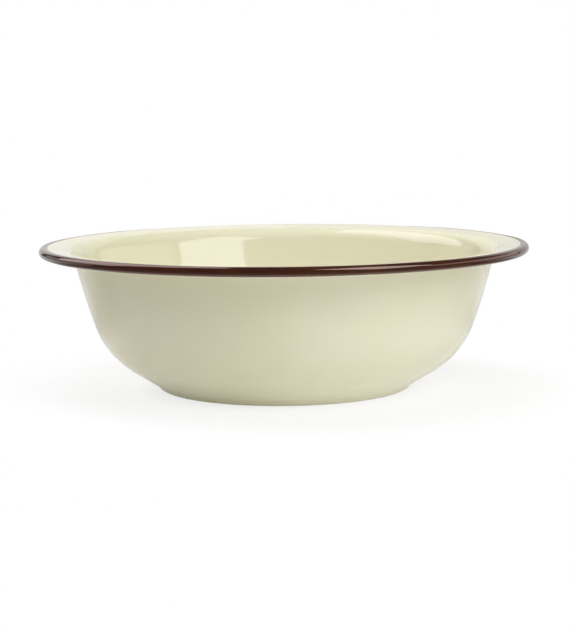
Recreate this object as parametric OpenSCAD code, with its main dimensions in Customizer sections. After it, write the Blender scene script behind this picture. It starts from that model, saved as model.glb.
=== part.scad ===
// Enamelled steel basin bowl: one deep-drawn sheet with a curled rim, fired with a dark
// ground coat and a cream cover coat on both faces, and a brown edging over the rim bead.
// Every layer is a band between two offsets of one section line, turned about Z.
// Lengths are in millimetres and angles in degrees. The bowl stands on z = 0.

/* [Overall] */
// Diameter over the finished rim bead
rim_d = 320; // [290:1:350]
// Height from the table to the top of the rim
height = 95; // [80:1:120]

/* [Base] */
// Diameter of the foot where its side meets the table
foot_d = 164; // [145:1:180]
// How far the side of the foot leans outwards
foot_lean = 2.4; // [1:0.1:4]
// Height of the foot, up to the step under the bowl
foot_h = 3.2; // [2:0.1:6]
// Radius of the foot's lower edge
foot_round = 5.6; // [2:0.1:6]
// Radius in the step above the foot
step_round = 5.5; // [2:0.1:8]
// Diameter of the raised panel in the middle of the base
panel_d = 110; // [80:1:124]
// How far the panel is raised above the table
panel_lift = 1.2; // [0.6:0.1:2.4]
// Width of the ramp between the panel and the ring that the bowl stands on
panel_ramp = 6; // [4:0.5:8]
// Radius of the two bends of that ramp
panel_round = 10; // [4:1:14]

/* [Wall] */
// Diameter where the lines of the lower slope and of the wall cross
belly_d = 236.5; // [224:0.5:250]
// Height of that crossing above the table
belly_h = 24.4; // [18:0.2:32]
// Radius of the belly, which rounds that crossing
belly_round = 56.5; // [30:0.5:66]
// Diameter where the lower and the upper line of the wall cross
wall_d = 260.6; // [256:0.2:266]
// Height of that crossing above the table
wall_h = 60; // [52:1:68]
// Radius of the gentle curve of the wall
wall_round = 500; // [100:10:800]

/* [Rim] */
// Width of the flared rim, from its outer edge to the neck
flange_w = 21.2; // [17:0.2:26]
// Depth of the neck under the top of the rim
neck_drop = 3.25; // [2.5:0.05:6]
// Radius under the flare, in the neck
neck_round = 10; // [5:0.5:14]
// Diameter of the finished bead
bead_d = 6; // [5:0.1:7.5]
// Gap left between the curled edge and the flange above it
curl_gap = 0.6; // [0.3:0.1:0.9]
// How far the brown edging runs in from the bead over the flange
edging_lap = 0.4; // [0.1:0.1:2]

/* [Sheet and coats] */
// Thickness of the steel sheet
sheet_t = 0.6; // [0.4:0.05:0.8]
// Thickness of the ground coat, on each face
ground_t = 0.1; // [0.08:0.01:0.16]
// Thickness of the cream cover coat, on each face
cover_t = 0.2; // [0.12:0.01:0.3]
// Thickness of the brown edging, over the cream
edging_t = 0.15; // [0.1:0.01:0.25]

/* [Hidden] */

// Largest distance between an arc of the section and the chords that stand for it
chord_error = 0.01;
// Facets of a full turn in the preview
$fn = 180;

// Depths of the layers, measured inwards from the outer face of the bowl
ground_out_at = cover_t;
steel_out_at = ground_out_at + ground_t;
steel_in_at = steel_out_at + sheet_t;
ground_in_at = steel_in_at + ground_t;
cover_in_at = ground_in_at + cover_t;
edging_at = cover_in_at + edging_t;

// The bead: its centre, and the radius of the outer face of the bowl inside the curl
bead_r = bead_d / 2;
bead_centre = [rim_d / 2 - bead_r, height - bead_r];
curl_r = bead_r - edging_at;

// Corners of the outer face, from the axis to the neck: radius, height and rounding
corners = [
    [0, panel_lift, 0],
    [panel_d / 2, panel_lift, panel_round],
    [panel_d / 2 + panel_ramp, 0, panel_round],
    [foot_d / 2, 0, foot_round],
    [foot_d / 2 + foot_lean, foot_h, step_round],
    [belly_d / 2, belly_h, belly_round],
    [wall_d / 2, wall_h, wall_round],
    [rim_d / 2 - flange_w, height - neck_drop, neck_round]
];

// The flange runs from the neck to the curl and touches it from above
neck = [for (axis = [0, 1]) corners[len(corners) - 1][axis]];
neck_to_bead = bead_centre - neck;
flange_heading = atan2(neck_to_bead[1], neck_to_bead[0]) + asin(curl_r / norm(neck_to_bead));
curl_start = bead_centre + curl_r * left_of(flange_heading);
curl_turn = acos((curl_r - curl_gap) / bead_r) - 360;

// Where the brown edging begins, on the straight of the flange
edging_from = rim_d / 2 - bead_d - edging_lap;
edging_start = curl_start + (edging_from - curl_start[0]) * [1, tan(flange_heading)];

// The outline of the outer face with its last straight, as the corners of one open line
line = [for (c = corners) c, [curl_start[0], curl_start[1], 0]];

function left_of(heading) = [-sin(heading), cos(heading)];
function run(i) = [line[i + 1][0] - line[i][0], line[i + 1][1] - line[i][1]];
function heading(i) = atan2(run(i)[1], run(i)[0]);
function turn(i) = heading(i) - heading(i - 1);

// Length that a corner's rounding takes from each of its two straights
function tangent(i) = line[i][2] == 0 ? 0 : line[i][2] * tan(abs(turn(i)) / 2);
// Share of the rounding at both ends of a straight that the straight has room for
function room(i) = min(1, norm(run(i)) / max(tangent(i) + tangent(i + 1), chord_error));
function rounding(i) = line[i][2] * min(room(i - 1), room(i));

// Points of an arc that leaves a point on a heading and turns: radius, height and heading
function arc(from, heading, radius, turn) =
    let (
        side = sign(turn),
        steps = max(1, ceil(abs(turn) / (2 * acos(1 - chord_error / radius)))),
        centre = from + side * radius * left_of(heading)
    )
    [
        for (k = [0 : steps])
            let (now = heading + turn * k / steps, at = centre - side * radius * left_of(now))
                [at[0], at[1], now]
    ];

function corner_arc(i) =
    let (
        back = rounding(i) * tan(abs(turn(i)) / 2),
        from = [line[i][0], line[i][1]] - back * [cos(heading(i - 1)), sin(heading(i - 1))]
    )
    arc(from, heading(i - 1), rounding(i), turn(i));

// The section line in two stretches: as far as the edging, and from there to the curled edge
bowl_line = [
    [0, panel_lift, heading(0)],
    for (i = [1 : len(line) - 2]) each corner_arc(i)
];
rim_line = [
    [edging_start[0], edging_start[1], flange_heading],
    each arc(curl_start, flange_heading, curl_r, curl_turn)
];
whole_line = [each bowl_line, each rim_line];

function at_depth(points, depth) = [for (p = points) [p[0], p[1]] + depth * left_of(p[2])];
function backwards(points) = [for (i = [len(points) - 1 : -1 : 0]) points[i]];

// A layer of the bowl: the band between two depths along a stretch of the section line
module layer(stretch, from_depth, to_depth) {
    rotate_extrude()
        polygon(concat(at_depth(stretch, from_depth), backwards(at_depth(stretch, to_depth))));
}

module steel_body() {
    color([0.62, 0.63, 0.65])
        layer(whole_line, steel_out_at, steel_in_at);
}

module ground_coat_inside() {
    color([0.12, 0.13, 0.17])
        layer(whole_line, steel_in_at, ground_in_at);
}

module ground_coat_outside() {
    color([0.12, 0.13, 0.17])
        layer(whole_line, ground_out_at, steel_out_at);
}

module cover_coat_inside() {
    color([0.91, 0.89, 0.76])
        layer(whole_line, ground_in_at, cover_in_at);
}

module cover_coat_outside() {
    color([0.91, 0.89, 0.76])
        layer(whole_line, 0, ground_out_at);
}

module rim_edging() {
    color([0.22, 0.10, 0.06])
        layer(rim_line, cover_in_at, edging_at);
}

steel_body();
ground_coat_inside();
ground_coat_outside();
cover_coat_inside();
cover_coat_outside();
rim_edging();
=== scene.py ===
# %% [markdown]
# # An enamelled steel basin
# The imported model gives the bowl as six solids: a pressed steel sheet, a dark ground coat on
# each face, a cream cover coat on each face and a brown edging over the rim bead. The solids
# are made of flat facets, which a glossy glaze shows at once. So this lesson keeps the hidden
# solids, and turns the three coats that the eye sees again, as smooth surfaces.

# %% Load the frame
import math

import bpy
import numpy as np
from mathutils import Matrix, Vector


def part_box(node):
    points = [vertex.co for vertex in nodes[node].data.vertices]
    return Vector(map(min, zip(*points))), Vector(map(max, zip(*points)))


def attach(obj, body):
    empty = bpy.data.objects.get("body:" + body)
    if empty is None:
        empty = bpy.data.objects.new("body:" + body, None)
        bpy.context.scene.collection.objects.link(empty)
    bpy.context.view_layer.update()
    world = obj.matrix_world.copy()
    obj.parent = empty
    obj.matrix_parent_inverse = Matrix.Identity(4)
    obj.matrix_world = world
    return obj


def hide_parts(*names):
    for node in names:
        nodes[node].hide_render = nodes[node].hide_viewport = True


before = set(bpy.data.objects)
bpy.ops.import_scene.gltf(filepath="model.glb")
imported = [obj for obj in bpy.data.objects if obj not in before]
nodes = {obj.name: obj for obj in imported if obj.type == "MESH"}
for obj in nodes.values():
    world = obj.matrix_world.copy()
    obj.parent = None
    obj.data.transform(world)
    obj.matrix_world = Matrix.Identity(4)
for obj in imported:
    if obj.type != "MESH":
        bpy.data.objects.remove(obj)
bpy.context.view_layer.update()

MM = 0.001
scene = bpy.context.scene

# %% [markdown]
# ## The camera
# The photograph was taken from a little above the rim, with a long lens: the near and the far
# side of the rim have almost the same curve. A perspective fit of the rim and of both wall
# edges gives the distance, the height and the field of view. Blender measures the lens on the
# long side of the picture, which is its height here.

# %% Camera
PICTURE_W, PICTURE_H = 570, 630
SENSOR_MM = 36
camera_distance = 1280 * MM
camera_elevation = math.radians(7.22)
camera_roll = math.radians(0.57)
aim_point = Vector((0.3 * MM, 0, 47.1 * MM))
focal_px = 1938

towards_camera = Vector((0, -math.cos(camera_elevation), math.sin(camera_elevation)))
camera_data = bpy.data.cameras.new("photo_camera")
camera_data.sensor_width = SENSOR_MM
camera_data.lens = focal_px * SENSOR_MM / max(PICTURE_W, PICTURE_H)
camera = bpy.data.objects.new("photo_camera", camera_data)
camera_place = Matrix.Translation(aim_point + camera_distance * towards_camera)
upright = towards_camera.to_track_quat("Z", "Y").to_matrix().to_4x4()
camera.matrix_world = camera_place @ upright @ Matrix.Rotation(-camera_roll, 4, "Z")
scene.collection.objects.link(camera)
scene.camera = camera
print("lens in mm:", round(camera_data.lens, 1))

# %% [markdown]
# ## One section for every coat
# A deep-drawn bowl is a body of revolution, so its whole form is one line from the axis to the
# curled edge of the rim. The line is a few straights with rounded corners, like the drawing of
# the press tool. Each coat lies at its own depth behind that line, so the coats can't drift
# apart. The rim and the bead are measured on the frame; the corners are the bowl's own sizes.

# %% Sizes of the section, in metres
edging_low, edging_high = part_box("rim_edging")
rim_r = round(edging_high.x, 4)
rim_top = round(edging_high.z, 4)
bead_r = round(edging_high.z - edging_low.z, 4) / 2

panel_r, panel_lift, panel_ramp, panel_round = 55 * MM, 1.2 * MM, 6 * MM, 10 * MM
foot_r, foot_lean, foot_h, foot_round = 82 * MM, 2.4 * MM, 3.2 * MM, 5.6 * MM
step_round = 5.5 * MM
belly_r, belly_h, belly_round = 118.25 * MM, 24.4 * MM, 56.5 * MM
wall_r, wall_h, wall_round = 130.3 * MM, 60 * MM, 500 * MM
flange_w, neck_drop, neck_round = 21.2 * MM, 3.25 * MM, 10 * MM
curl_gap, edging_lap = 0.6 * MM, 0.4 * MM
sheet_t, ground_t, cover_t, edging_t = 0.6 * MM, 0.1 * MM, 0.2 * MM, 0.15 * MM

cover_in_at = 2 * cover_t + 2 * ground_t + sheet_t
edging_at = cover_in_at + edging_t
curl_r = bead_r - edging_at
bead_centre = np.array([rim_r - bead_r, rim_top - bead_r])
# Radius, height and rounding of each corner, from the base panel to the neck
corners = [
    (panel_r, panel_lift, panel_round),
    (panel_r + panel_ramp, 0, panel_round),
    (foot_r, 0, foot_round),
    (foot_r + foot_lean, foot_h, step_round),
    (belly_r, belly_h, belly_round),
    (wall_r, wall_h, wall_round),
    (rim_r - flange_w, rim_top - neck_drop, neck_round),
]
print("rim, height and bead in mm:", [round(v / MM, 1) for v in (2 * rim_r, rim_top, 2 * bead_r)])

# %% [markdown]
# ## Straights and arcs
# A sheet can't bend at a point, so each corner is an arc that touches both of its straights.
# The last straight is the flange. It runs tangent into the curl, and the curl goes most of the
# way round and stops just short of the flange. Keeping the heading with each point is worth
# it: a step to the left of the heading then gives every coat its place.

# %% Section line as radius, height and heading
ARC_STEPS = 90


def along(heading):
    """Unit step along a heading: cosine in radius, sine in height."""
    return np.stack([np.cos(heading), np.sin(heading)], axis=-1)


def left_of(heading):
    """Unit step to the left of a heading, which here is towards the inside of the bowl."""
    return np.stack([-np.sin(heading), np.cos(heading)], axis=-1)


def arc(start, heading, radius, turn):
    """Arc that leaves start on a heading.

    The heading turns evenly, and each point lies radius to the side of it from one centre.
    """
    side = math.copysign(1, turn)
    centre = start + side * radius * left_of(heading)
    headings = heading + turn * np.linspace(0, 1, ARC_STEPS)
    return np.column_stack([centre - side * radius * left_of(headings), headings])


def section_line():
    """Straights with rounded corners, then the flange, which touches the curl, then the curl.

    A corner of rounding q between two headings starts q * tan(turn / 2) before its point.
    """
    to_bead = bead_centre - corners[-1][:2]
    flange = math.atan2(to_bead[1], to_bead[0]) + math.asin(curl_r / np.linalg.norm(to_bead))
    curl_start = bead_centre + curl_r * left_of(flange)
    points = np.array([(0, panel_lift), *[c[:2] for c in corners], curl_start])
    steps = np.diff(points, axis=0)
    headings = np.arctan2(steps[:, 1], steps[:, 0])
    stretches = [np.array([[0, panel_lift, headings[0]]])]
    for i, corner in enumerate(corners, 1):
        turn = headings[i] - headings[i - 1]
        back = corner[2] * math.tan(abs(turn) / 2)
        corner_start = points[i] - back * along(headings[i - 1])
        stretches.append(arc(corner_start, headings[i - 1], corner[2], turn))
    curl_turn = math.acos((curl_r - curl_gap) / bead_r) - 2 * math.pi
    stretches.append(arc(curl_start, flange, curl_r, curl_turn))
    return np.concatenate(stretches), curl_start, flange


line, curl_start, flange_heading = section_line()
print("points on the section line:", len(line))

# %% [markdown]
# ## Lengths along the line
# Where a coat starts or stops is easiest to say as a length, as with a tape measure laid into
# the bowl from the middle of its base. A length and a depth then give a radius and a height.

# %% Tape measure
line_s = np.concatenate([[0], np.cumsum(np.linalg.norm(np.diff(line[:, :2], axis=0), axis=1))])
line_end = line_s[-1]
curl_s = line_s[-ARC_STEPS]
bead_out_s = curl_s + curl_r * math.pi / 2
edging_r = rim_r - 2 * bead_r - edging_lap
edging_s = curl_s - (curl_start[0] - edging_r) / math.cos(flange_heading)
print("section line in mm:", round(line_end / MM, 1), "edging starts at:", round(edging_s / MM, 1))


def at(s, depth):
    """Radius and height at a length s along the line and a depth to its left."""
    heading = np.interp(s, line_s, line[:, 2])
    radius = np.interp(s, line_s, line[:, 0]) - depth * np.sin(heading)
    height = np.interp(s, line_s, line[:, 1]) + depth * np.cos(heading)
    return radius, height


# %% [markdown]
# ## Where the rings go
# Each section point becomes a ring of the turned bowl. Rings are spaced by length on the
# straights and by angle in the bends, so that a tight bead gets as many as a long wall. They
# lie closer at the neck, whose contour shows against the inside, and the cream under the brown
# edging gets by with fewer.

# %% Rings
COLUMNS = 384
STEP_LENGTH = 4 * MM
STEP_TURN, NECK_TURN, COVERED_TURN = math.radians(4), math.radians(1.5), math.radians(9)
theta = np.linspace(0, 2 * np.pi, COLUMNS, endpoint=False)


def stations(start, end, curl_step=STEP_TURN):
    """Lengths from start to end, in even steps of length / STEP_LENGTH + turn / step.

    The step is NECK_TURN in the neck, and curl_step past the outermost point of the bead.
    """
    step = np.full(len(line) - 1, STEP_TURN)
    step[-2 * ARC_STEPS:-ARC_STEPS] = NECK_TURN
    step[line_s[1:] > bead_out_s] = curl_step
    turned_so_far = np.concatenate([[0], np.cumsum(np.abs(np.diff(line[:, 2])) / step)])
    cost = line_s / STEP_LENGTH + turned_so_far
    first, last = np.interp([start, end], line_s, cost)
    count = math.ceil(last - first) + 1
    return np.interp(np.linspace(first, last, count), cost, line_s)


print("rings on a cream face:", len(stations(0, line_end, COVERED_TURN)))

# %% [markdown]
# ## Meshes from whole arrays
# Blender can take points and faces one by one, but a bowl has nearly a hundred thousand of
# them. `foreach_set` hands over a whole array at once. A quad whose side has shrunk to a point
# at a pole goes in as a triangle.

# %% Mesh helpers
def split_faces(quads):
    """Quads first, then the quads that have shrunk to triangles at a pole."""
    same = quads == np.roll(quads, -1, axis=1)
    shrunk = same.any(axis=1)
    return quads[~shrunk], quads[shrunk][~same[shrunk]].reshape(-1, 3)


def fill_mesh(mesh, points, faces):
    """Writes points, and arrays of faces with equal corner counts, into a mesh, shaded smooth."""
    mesh.vertices.add(len(points))
    mesh.vertices.foreach_set("co", points.astype(np.float32).ravel())
    corner_counts = np.concatenate([np.full(len(f), f.shape[1]) for f in faces])
    corner_points = np.concatenate([f.ravel() for f in faces])
    mesh.loops.add(len(corner_points))
    mesh.loops.foreach_set("vertex_index", corner_points.astype(np.int32))
    mesh.polygons.add(len(corner_counts))
    starts = np.concatenate([[0], np.cumsum(corner_counts)[:-1]])
    mesh.polygons.foreach_set("loop_start", starts.astype(np.int32))
    mesh.polygons.foreach_set("use_smooth", np.ones(len(corner_counts), dtype=bool))
    mesh.update(calc_edges=True)
    mesh.validate()


# %% [markdown]
# ## Turning a section
# A lathe does the rest. Blender has a Screw modifier for this, but it turns every section point
# into a true circle. Here each point of a ring may have its own radius and height, so the glaze
# can be a little uneven. Where a section ends on the axis, its ring shrinks to one point, and a
# fan of triangles closes the pole.

# %% Turned surfaces
ON_AXIS = 1e-9


def turned(name, radius, height, marks):
    """Mesh of a closed section turned about Z.

    Ring i, column j is the point (r cos t, r sin t, h) with r = radius[i, j], h = height[i, j].
    Rings of radius 0 at both ends become poles; otherwise the last ring joins the first.
    Faces point outwards if the volume that they enclose is positive. marks holds named values
    for each point, for the materials.
    """
    grid = np.stack([radius * np.cos(theta), radius * np.sin(theta), height], axis=-1)
    index = np.arange(radius.size).reshape(radius.shape)
    if np.all(radius[[0, -1]] < ON_AXIS):
        index[0], index[-1] = index[0, 0], index[-1, 0]
        ring, after = index[:-1], index[1:]
    else:
        ring, after = index, np.roll(index, -1, axis=0)
    quads = np.stack([ring, np.roll(ring, -1, axis=1), np.roll(after, -1, axis=1), after], axis=-1)
    quads = quads.reshape(-1, 4)
    points = grid.reshape(-1, 3)
    corner = points[quads]
    diagonals = np.cross(corner[:, 2] - corner[:, 0], corner[:, 3] - corner[:, 1])
    if np.einsum("ij,ij->", corner.mean(axis=1), diagonals) < 0:
        quads = quads[:, ::-1]
    used, packed = np.unique(quads, return_inverse=True)
    packed = packed.reshape(-1, 4)
    mesh = bpy.data.meshes.new(name)
    fill_mesh(mesh, points[used], split_faces(packed))
    for mark, values in marks.items():
        layer = mesh.attributes.new(mark, "FLOAT", "POINT")
        layer.data.foreach_set("value", values.reshape(-1)[used].astype(np.float32))
    piece = bpy.data.objects.new(name, mesh)
    scene.collection.objects.link(piece)
    print(name, "points:", len(used), "faces:", len(packed))
    return piece


# %% [markdown]
# ## The uneven skin of fired enamel
# Enamel is a glass slip that is sprayed or poured, and it sags a little before it melts. The
# result is smooth but never flat: its thickness drifts by a few hundredths of a millimetre, and
# the edge of a reflection wanders with it. A sum of long waves round the bowl and along the
# section does this. The numbers of waves are whole, so the surface closes on itself.

# %% Waviness
WAVE_HEIGHT = 0.007 * MM
WAVE_COUNT = 14
CALM_RADIUS = 40 * MM
rng = np.random.default_rng(32)
wave_turns = rng.integers(2, 26, WAVE_COUNT)
wave_lengths = rng.uniform(28, 90, WAVE_COUNT) * MM
wave_starts = rng.uniform(0, 2 * np.pi, (2, WAVE_COUNT))


def waviness(s):
    """Extra thickness at length s and angle t.

    It is the sum of WAVE_HEIGHT cos(n t + a) cos(2 pi s / l + b) over the waves. It fades out
    within CALM_RADIUS of the axis, where waves would crowd, and where the foot stands.
    """
    round_bowl = np.cos(wave_turns[:, None] * theta + wave_starts[0][:, None])
    up_wall = np.cos(2 * np.pi * s[:, None] / wave_lengths + wave_starts[1])
    off_axis = np.clip(np.interp(s, line_s, line[:, 0]) / CALM_RADIUS, 0, 1) ** 2
    off_table = np.clip(np.interp(s, line_s, line[:, 1]) / foot_h, 0, 1)
    return WAVE_HEIGHT * (off_axis * off_table)[:, None] * (up_wall @ round_bowl)


print("largest waviness in mm:", round(np.abs(waviness(line_s)).max() / MM, 3))

# %% [markdown]
# ## The cream cover coats
# The cream is laid over the ground coat on both faces and fired to a closed skin. Each coat is
# a closed band: along the shown face from the axis to the curled edge, and back along the
# hidden face, where a third of the rings will do. Each point also keeps how sharply its face
# bends outwards, because the slip draws back from such a bend and is thinner there.

# %% Cream cover coats
HIDDEN_SKIP = 3
BEND_REACH = 1.5 * MM


def bend_of_line(s):
    """How far the heading turns between BEND_REACH before and BEND_REACH after length s."""
    before, after = s - BEND_REACH, s + BEND_REACH
    return np.interp(after, line_s, line[:, 2]) - np.interp(before, line_s, line[:, 2])


def cover_coat(name, solid, hidden_at, shown_at, shown_side):
    """Band between two depths, from the axis to the curled edge and back.

    The shown face lies at shown_at plus the waviness, on the side shown_side of the line.
    """
    s = stations(0, line_end, COVERED_TURN)
    s_hidden = np.concatenate([s[:-1:HIDDEN_SKIP], s[-1:]])[::-1]
    shown = shown_at + shown_side * waviness(s)
    hidden = np.full((len(s_hidden), COLUMNS), hidden_at)
    there, back = at(s[:, None], shown), at(s_hidden[:, None], hidden)
    section = [np.concatenate(pair) for pair in zip(there, back)]
    bend = np.repeat((-shown_side * bend_of_line(s))[:, None], COLUMNS, axis=1)
    piece = turned(name, *section, {"bend": np.concatenate([bend, np.zeros_like(hidden)])})
    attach(piece, "root")
    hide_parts(solid)
    return piece


inside = cover_coat("inside_glaze", "cover_coat_inside", cover_in_at - cover_t, cover_in_at, 1)
outside = cover_coat("outside_glaze", "cover_coat_outside", cover_t, 0, -1)

# %% [markdown]
# ## The brown edging
# The bead is dipped into a second colour. The brown slip draws itself into a rounded edge where
# it stops on the cream. That line isn't quite a circle: it wanders a little, and the bowl was
# dipped askew, which leaves the band narrower at the back. The band starts with no thickness,
# swells within a millimetre and then follows the bead round to the curled edge.

# %% Rim edging
SWELL = 0.9 * MM
SWELL_RINGS = 8
LINE_WANDER = 0.1 * MM
LINE_WAVES = 6
DIP_TILT = 1.15 * MM
SUNK = 0.05 * MM


def rim_edging():
    """Band over the cream, of thickness edging_t * sin(90 degrees * x)^2.

    x runs from 0 at the border to 1 at SWELL behind it. At angle t the border lies further out
    by DIP_TILT * (1 + sin t)^2 and by the mean of a few waves of height LINE_WANDER. Both fade
    to nothing at the outermost point of the bead.
    """
    swell_s = edging_s + SWELL * np.linspace(0, 1, SWELL_RINGS, endpoint=False) ** 2
    even_s = stations(edging_s, line_end)
    s = np.concatenate([swell_s, even_s[even_s > edging_s + SWELL]])
    turns = rng.integers(3, 17, LINE_WAVES)
    starts = rng.uniform(0, 2 * np.pi, LINE_WAVES)
    waves = np.cos(turns[:, None] * theta + starts[:, None]).mean(axis=0)
    wander = LINE_WANDER * waves + DIP_TILT * (1 + np.sin(theta)) ** 2
    fade = np.clip((bead_out_s - s) / (bead_out_s - edging_s), 0, 1)
    shifted = s[:, None] + fade[:, None] * wander
    x = np.clip((s - edging_s) / SWELL, 0, 1)
    swell = np.sin(x * np.pi / 2) ** 2
    skin = cover_in_at + waviness(s)
    top = at(shifted, skin + (edging_t * swell)[:, None])
    under = at(shifted[::-1], (skin - SUNK * swell[:, None])[::-1])
    section = [np.concatenate([t, u[:-1]]) for t, u in zip(top, under)]
    cover = np.repeat(x[:, None], COLUMNS, axis=1)
    piece = turned("edging_glaze", *section, {"cover": np.concatenate([cover, cover[:0:-1]])})
    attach(piece, "root")
    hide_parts("rim_edging")
    return piece


edging = rim_edging()

# %% [markdown]
# ## Shader maths as plain expressions
# A material is a tree of nodes, and its arithmetic is a Math node for every sign. Clicking these
# together hides the formula. One small class wraps a socket instead, so that `1 - mask` adds its
# Math node and still reads as what it is.

# %% Sockets that can be added and multiplied
class Wire:
    """A socket of a node tree; arithmetic on it adds Math nodes."""

    def __init__(self, tree, socket):
        self.tree, self.socket = tree, socket

    def math(self, operation, first, second):
        return self.tree.node("ShaderNodeMath", {"operation": operation}, {0: first, 1: second})[0]

    def __add__(self, other):
        return self.math("ADD", self, other)

    def __radd__(self, other):
        return self.math("ADD", other, self)

    def __sub__(self, other):
        return self.math("SUBTRACT", self, other)

    def __rsub__(self, other):
        return self.math("SUBTRACT", other, self)

    def __mul__(self, other):
        return self.math("MULTIPLY", self, other)

    def __rmul__(self, other):
        return self.math("MULTIPLY", other, self)

    def __gt__(self, other):
        return self.math("GREATER_THAN", self, other)


# %% [markdown]
# ## Any other node
# One method adds a node from its type, its settings and its inputs, where an input is a value or
# a wire. The nodes that come up again and again get a short name on top of it.

# %% Node trees
class Tree:
    """The node tree of a material or a world, emptied and ready for nodes."""

    def __init__(self, owner):
        owner.use_nodes = True
        self.nodes, self.links = owner.node_tree.nodes, owner.node_tree.links
        self.nodes.clear()

    def node(self, kind, settings=None, inputs=None):
        """Adds a node of a type, sets its settings, then its inputs; returns outputs as wires."""
        made = self.nodes.new(kind)
        for key, value in (settings or {}).items():
            setattr(made, key, value)
        for key, value in (inputs or {}).items():
            if isinstance(value, Wire):
                self.links.new(value.socket, made.inputs[key])
            else:
                made.inputs[key].default_value = value
        return [Wire(self, socket) for socket in made.outputs]

    def smooth(self, value, low, high):
        """0 below low, 1 above high, and a smooth step between."""
        return self.node("ShaderNodeMapRange", {"interpolation_type": "SMOOTHSTEP"},
                         {"Value": value, "From Min": low, "From Max": high})[0]

    def noise(self, place, scale, detail):
        """Soft noise between 0 and 1, with about scale patches to the metre."""
        return self.node("ShaderNodeTexNoise", None,
                         {"Vector": place, "Scale": scale, "Detail": detail})[0]

    def mix(self, factor, first, second):
        """Colour that goes from first to second."""
        return self.node("ShaderNodeMix", {"data_type": "RGBA"}, {0: factor, 6: first, 7: second})[2]

    def blend(self, factor, first, second):
        """Shader that goes from first to second."""
        return self.node("ShaderNodeMixShader", None, {0: factor, 1: first, 2: second})[0]


def new_finish(name):
    """An empty material, its tree, and the place on the piece in metres."""
    finish = bpy.data.materials.new(name)
    tree = Tree(finish)
    return finish, tree, tree.node("ShaderNodeTexCoord")[3]


# %% [markdown]
# ## Colours
# A colour picked on a screen isn't an amount of light: half of the scale is only about a fifth
# of the light. Blender's sockets take light, so screen colours are turned into it first.

# %% Colours
def srgb(red, green, blue):
    """Light of an 8-bit screen colour: the power 2.4, with a straight piece near black."""
    parts = np.array([red, green, blue]) / 255
    linear = np.where(parts <= 0.04045, parts / 12.92, ((parts + 0.055) / 1.055) ** 2.4)
    return (*map(float, linear), 1.0)


def grey(level):
    """Neutral colour of a level of light."""
    return (level, level, level, 1)


print("light of screen grey 128:", round(srgb(128, 128, 128)[0], 3))

# %% [markdown]
# ## Cream enamel
# The cover coat is an opaque cream glass. It is almost even, with a slow drift of tone where
# the slip lay thicker, a greyer tone on outward bends where the dark ground coat shows through,
# and a dark pinhole here and there. Its gloss is high, with a faint orange peel, which is too
# fine for the mesh and is a bump.

# %% Cream enamel
CREAM_LOW, CREAM_HIGH = srgb(229, 226, 193), srgb(233, 230, 201)
CREAM_THIN, PINHOLE = srgb(196, 190, 155), srgb(84, 74, 62)
PINHOLE_SHARE = 0.14
CREAM_PEEL = 0.02 * MM


def cream_enamel(name):
    """Glossy glass: two noises for the tone, the bend for thin places, cells for pinholes."""
    finish, tree, place = new_finish(name)
    drift = tree.noise(place, 22.0, 2.0)
    cloud = tree.noise(place, 7.0, 1.0)
    thick = tree.smooth(0.6 * cloud + 0.4 * drift, 0.35, 0.65)
    tone = tree.mix(thick, CREAM_LOW, CREAM_HIGH)
    bend = tree.node("ShaderNodeAttribute", {"attribute_name": "bend"})[2]
    tone = tree.mix(0.35 * tree.smooth(bend, 0.08, 0.7), tone, CREAM_THIN)
    cells = {"voronoi_dimensions": "3D", "feature": "F1"}
    cell = tree.node("ShaderNodeTexVoronoi", cells, {"Vector": place, "Scale": 55.0})
    chance = tree.node("ShaderNodeSeparateColor", None, {0: cell[1]})[0]
    pinhole = (chance > 1 - PINHOLE_SHARE) * (1 - tree.smooth(cell[0], 0.012, 0.03))
    tone = tree.mix(0.75 * pinhole, tone, PINHOLE)
    height = tree.noise(place, 260.0, 1.0) - 0.6 * pinhole
    normal = tree.node("ShaderNodeBump", None,
                       {"Strength": 0.5, "Distance": CREAM_PEEL, "Height": height})[0]
    surface = tree.node("ShaderNodeBsdfPrincipled", None,
                        {"Base Color": tone, "Roughness": 0.05 + 0.02 * drift, "IOR": 1.55,
                         "Normal": normal})[0]
    tree.node("ShaderNodeOutputMaterial", None, {"Surface": surface})
    return finish


cream = cream_enamel("cream_enamel")
for coat in (inside, outside):
    coat.data.materials.append(cream)
print("cream enamel on", inside.name, "and", outside.name)

# %% [markdown]
# ## Brown enamel
# The edging is a dark brown glass. Where it runs out on the cream it is thin, and the cream
# behind it makes it redder and lighter. The mesh keeps how far each point lies behind the
# border, so the tone can follow it. What it mirrors is a little warm.

# %% Brown enamel
BROWN_LOW, BROWN_HIGH = srgb(54, 22, 8), srgb(64, 28, 11)
BROWN_THIN = srgb(122, 74, 48)
BROWN_SHEEN = (1, 0.75, 0.6, 1)
BROWN_PEEL = 0.03 * MM


def brown_enamel(name):
    """Glossy glass: a noise for the tone, and the cover for the thin border."""
    finish, tree, place = new_finish(name)
    cloud = tree.noise(place, 60.0, 2.0)
    tone = tree.mix(tree.smooth(cloud, 0.3, 0.7), BROWN_LOW, BROWN_HIGH)
    cover = tree.node("ShaderNodeAttribute", {"attribute_name": "cover"})[2]
    tone = tree.mix(1 - tree.smooth(cover, 0.0, 0.8), tone, BROWN_THIN)
    height = tree.noise(place, 300.0, 1.0)
    normal = tree.node("ShaderNodeBump", None,
                       {"Strength": 0.5, "Distance": BROWN_PEEL, "Height": height})[0]
    surface = tree.node("ShaderNodeBsdfPrincipled", None,
                        {"Base Color": tone, "Roughness": 0.05 + 0.03 * cloud, "IOR": 1.9,
                         "Specular Tint": BROWN_SHEEN, "Normal": normal})[0]
    tree.node("ShaderNodeOutputMaterial", None, {"Surface": surface})
    return finish


edging.data.materials.append(brown_enamel("brown_enamel"))
print("brown enamel on", edging.name)

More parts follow.
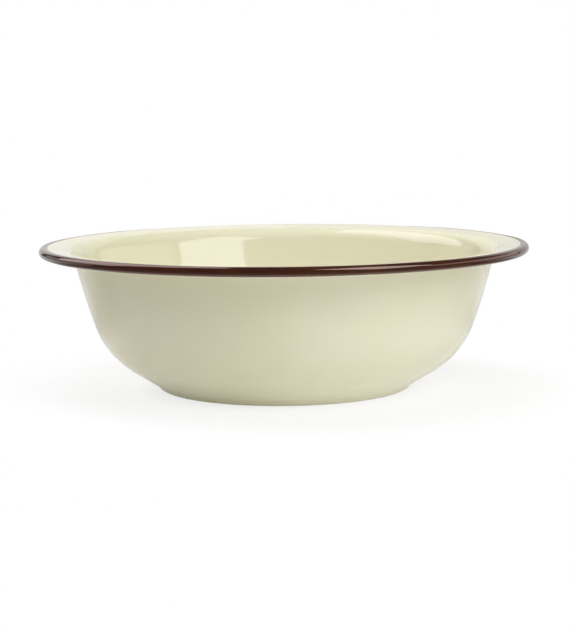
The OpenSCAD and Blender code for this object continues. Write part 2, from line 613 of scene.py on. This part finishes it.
# %% [markdown]
# ## Steel and ground coat
# The sheet and the dark ground coat are sealed in by the cream. They show only at the cut edge
# inside the curl, and on a chip if someone makes one, so they still get a true finish: pickled
# steel that is dull in patches, and a nearly black glass.

# %% Hidden layers
STEEL_LOW, STEEL_HIGH = srgb(150, 151, 154), srgb(176, 177, 180)
GROUND_LOW, GROUND_HIGH = srgb(22, 24, 32), srgb(38, 41, 52)


def sheet_steel(name):
    """Metal whose tone and roughness follow one noise."""
    finish, tree, place = new_finish(name)
    cloud = tree.noise(place, 180.0, 4.0)
    tone = tree.mix(cloud, STEEL_LOW, STEEL_HIGH)
    surface = tree.node("ShaderNodeBsdfPrincipled", None,
                        {"Base Color": tone, "Metallic": 1.0, "Roughness": 0.35 + 0.25 * cloud})[0]
    tree.node("ShaderNodeOutputMaterial", None, {"Surface": surface})
    return finish


def ground_enamel(name):
    """Dark glass whose tone and roughness follow one noise."""
    finish, tree, place = new_finish(name)
    cloud = tree.noise(place, 400.0, 3.0)
    tone = tree.mix(cloud, GROUND_LOW, GROUND_HIGH)
    surface = tree.node("ShaderNodeBsdfPrincipled", None,
                        {"Base Color": tone, "Roughness": 0.12 + 0.1 * cloud, "IOR": 1.5})[0]
    tree.node("ShaderNodeOutputMaterial", None, {"Surface": surface})
    return finish


def dress(node, finish):
    """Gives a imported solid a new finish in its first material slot."""
    node.data.materials.clear()
    node.data.materials.append(finish)
    print(finish.name, "on", node.name)


dress(nodes["steel_body"], sheet_steel("sheet_steel"))
ground = ground_enamel("ground_enamel")
for name in ("ground_coat_inside", "ground_coat_outside"):
    dress(nodes[name], ground)

# %% [markdown]
# ## A white table
# The floor is pale paper that takes the bowl's shadow. It also glows a little, most near the foot,
# which is painted light. The camera sees part of that near the bowl, and plain white further out,
# so no horizon shows. Light Path tells which ray asks, and so the bowl can see more than the camera
# does. Close to the foot on the left the glow is mostly taken out, and for the bowl the table is
# darker in front on the left: both are painted shade. Far off the glaze mirrors a painted
# reflection, a bright sweep behind and a dark room in front, which the table shows only to mirrored
# rays.

# %% Table finish, with distances in metres
# The grey of the paper, then painted shade, then the dark of a painted reflection
PAPER, SHADE, PAINTED_DARK = grey(0.85), grey(0.3), grey(0.15)
# Painted light: the paper's glow near the foot and far off
GLOW_NEAR, GLOW_FAR = grey(0.25), grey(0.14)
# Painted reflection: brightness of the sweep that mirrored rays see far behind
PAINTED_SWEEP_LEVEL = 0.8


def white_table(name):
    """Paper plus painted glow, blended by place to painted shade, to a painted sweep and room
    for mirrored rays, and to white for the camera.
    """
    finish, tree, place = new_finish(name)
    distance = tree.node("ShaderNodeVectorMath", {"operation": "LENGTH"}, {0: place})[1]
    across, depth = tree.node("ShaderNodeSeparateXYZ", None, {0: place})[:2]
    ray = tree.node("ShaderNodeLightPath")
    camera_ray, glossy_ray = ray[0], ray[3]
    left = 1 - tree.smooth(across, -0.2, 0.05)
    front = 1 - tree.smooth(depth, -0.15, 0.05)
    behind = tree.smooth(depth, -0.05, 0.25)
    painted_shade_by_foot = 1 - tree.smooth(distance, 0.084, 0.1)
    far_off = tree.smooth(distance, 0.15, 0.25)
    seen = 0.3 * (1 - tree.smooth(distance, 0.12, 0.29))
    paper = tree.node("ShaderNodeBsdfDiffuse", None, {"Color": PAPER})[0]
    shade = tree.node("ShaderNodeBsdfDiffuse", None, {"Color": SHADE})[0]
    dark = tree.node("ShaderNodeBsdfDiffuse", None, {"Color": PAINTED_DARK})[0]
    sweep = tree.node("ShaderNodeEmission", None, {"Strength": PAINTED_SWEEP_LEVEL})[0]
    white = tree.node("ShaderNodeEmission", None, {"Color": grey(1), "Strength": 1.0})[0]
    # Painted light: a glow on the paper, stronger near the foot
    glow_tone = tree.mix(tree.smooth(distance, 0.1, 0.16), GLOW_NEAR, GLOW_FAR)
    glow = tree.node("ShaderNodeEmission", None, {"Color": glow_tone, "Strength": 1.0})[0]
    lit = tree.node("ShaderNodeAddShader", None, {0: paper, 1: glow})[0]
    # Painted shade: close to the foot on the left the glow is mostly taken out
    lit = tree.blend(0.8 * left * painted_shade_by_foot, lit, paper)
    # Painted shade: for the bowl the table is darker in front on the left
    lit = tree.blend(0.3 * left * front * (1 - camera_ray), lit, shade)
    # Painted reflection: far off, mirrored rays see a bright sweep behind and a dark room in front
    lit = tree.blend(glossy_ray * far_off, lit, tree.blend(behind, dark, sweep))
    surface = tree.blend(camera_ray * (1 - seen), lit, white)
    tree.node("ShaderNodeOutputMaterial", None, {"Surface": surface})
    return finish


# %% [markdown]
# ## The table's top
# One flat face is enough. It reaches far to the back and to the sides, and over a metre to the
# front, where it throws light up under the flared rim.

# %% Floor
FLOOR_HALF = 3.0
FLOOR_FRONT, FLOOR_BACK = -1.1, 2.7
floor_corners = [(-FLOOR_HALF, FLOOR_FRONT, 0), (FLOOR_HALF, FLOOR_FRONT, 0),
                 (FLOOR_HALF, FLOOR_BACK, 0), (-FLOOR_HALF, FLOOR_BACK, 0)]
floor_mesh = bpy.data.meshes.new("white_table")
floor_mesh.from_pydata(floor_corners, [], [(0, 1, 2, 3)])
floor = bpy.data.objects.new("white_table", floor_mesh)
scene.collection.objects.link(floor)
floor.data.materials.append(white_table("white_table"))
print("table in m:", 2 * FLOOR_HALF, "by", round(FLOOR_BACK - FLOOR_FRONT, 2))

# %% [markdown]
# ## A lamp by its brightness
# What the glaze mirrors is a lamp's brightness, and what lights the bowl is brightness times
# size. So a lamp is given by its brightness, and its power follows. Blender lets a lamp be
# hidden from mirrored rays or from lighting, which keeps the two jobs apart.

# %% Softbox helper
middle = Vector((0, 0, rim_top / 2))


def from_side(azimuth, elevation, distance):
    """Place at a distance from the middle of the bowl, and the way back from it.

    Azimuth 0 is on the camera's side and 90 on the right; elevation is above the table.
    """
    a, e = math.radians(azimuth), math.radians(elevation)
    way = Vector((math.sin(a) * math.cos(e), -math.cos(a) * math.cos(e), math.sin(e)))
    return middle + distance * way, -way


def softbox(name, centre, facing, size, radiance, roll=0, tint=(1, 1, 1),
            mirrored=True, lighting=True):
    """Area lamp at centre that shines along facing: its power is pi * area * radiance."""
    data = bpy.data.lights.new(name, "AREA")
    data.shape, data.size, data.size_y = "RECTANGLE", *size
    data.energy = math.pi * size[0] * size[1] * radiance
    data.color = tint
    lamp = bpy.data.objects.new(name, data)
    aimed = facing.to_track_quat("-Z", "Y").to_matrix().to_4x4()
    rolled = Matrix.Rotation(math.radians(roll), 4, "Z")
    lamp.matrix_world = Matrix.Translation(centre) @ aimed @ rolled
    lamp.visible_camera = False
    lamp.visible_glossy = mirrored
    lamp.visible_diffuse = lighting
    scene.collection.objects.link(lamp)
    print(name, "power in W:", round(data.energy, 1))


# %% [markdown]
# ## Lamps that show
# The photograph's reflections say where its lamps stood: a softbox in front on the right, whose
# picture lies on the far wall inside, and a large one high up behind on the left. Both are a
# little cool. Far behind the bowl hangs a white sheet, which is brighter in its left part.

# %% Softboxes and sheet
FRONT_TINT, BACK_TINT = (0.97, 0.98, 1.08), (1, 0.96, 1.1)
FORWARDS = Vector((0, -1, 0))
softbox("front_softbox", *from_side(45, 35.5, 1.15), (0.71, 0.81), 3.3, roll=28, tint=FRONT_TINT)
softbox("back_softbox", *from_side(-118, 46, 1.8), (1.4, 1.94), 2.0, roll=21, tint=BACK_TINT)
softbox("white_sheet", Vector((0.385, 2.6, 1.15)), FORWARDS, (3.63, 2.3), 0.58)
softbox("sheet_fold", Vector((-0.715, 2.59, 1.15)), FORWARDS, (1.43, 2.3), 0.14)

# %% [markdown]
# ## Fills
# A pale room sends some light from everywhere. Six soft fills stand in for it, from above, from
# the front, and from both sides. The glaze doesn't mirror them, because the room in front is
# dark in its reflections, which keeps the bead deep brown.

# %% Fills
TOP_TINT, FRONT_FILL_TINT, SIDE_TINT = (1, 1, 0.95), (1, 1, 0.97), (0.97, 1, 0.97)
softbox("top_fill", Vector((0, 0, 1.4)), Vector((0, 0, -1)), (1.4, 1.4), 1.75,
        tint=TOP_TINT, mirrored=False)
softbox("low_fill", Vector((0.6, -1.5, 0.2)), Vector((-0.4, 1, 0)), (1.8, 0.4), 0.5,
        tint=FRONT_FILL_TINT, mirrored=False)
softbox("high_fill", Vector((0, -1.3, 1.4)), Vector((0, 1, -1)), (1.8, 1.0), 0.52,
        tint=FRONT_FILL_TINT, mirrored=False)
softbox("side_fill", *from_side(65, 15, 1.5), (0.8, 0.8), 0.3, tint=SIDE_TINT, mirrored=False)
softbox("right_fill", Vector((1.4, 0.3, 0.6)), Vector((-1, 0, 0)), (1.7, 1.2), 0.15, mirrored=False)
softbox("left_fill", Vector((-1.4, 0.3, 0.6)), Vector((1, 0, 0)), (1.7, 1.2), 0.18, mirrored=False)

# %% [markdown]
# ## Panels
# The inner wall mirrors two low, pale panels: a wide one on the right, and a weaker one behind
# on the left. They are only mirrored, because the fills already give their light.

# %% Panels
softbox("right_panel", *from_side(100, 15, 1.5), (2.1, 0.475), 0.95, lighting=False)
softbox("left_panel", *from_side(-117, 10.5, 1.5), (1.27, 0.34), 0.5, lighting=False)

# %% [markdown]
# ## The room
# What lies behind everything is the world. The camera sees it as plain white, like the empty
# background of a catalogue picture. To all other rays it is a dim room, so that the lamps shape
# the bowl.

# %% World
ROOM_LEVEL = 0.1
scene.world = bpy.data.worlds.new("studio")
room = Tree(scene.world)
level = ROOM_LEVEL + (1 - ROOM_LEVEL) * room.node("ShaderNodeLightPath")[0]
shine = room.node("ShaderNodeBackground", None, {"Color": grey(1), "Strength": level})[0]
room.node("ShaderNodeOutputWorld", None, {"Surface": shine})
scene.view_settings.view_transform = "Standard"
print("room level:", ROOM_LEVEL, "view:", scene.view_settings.view_transform)
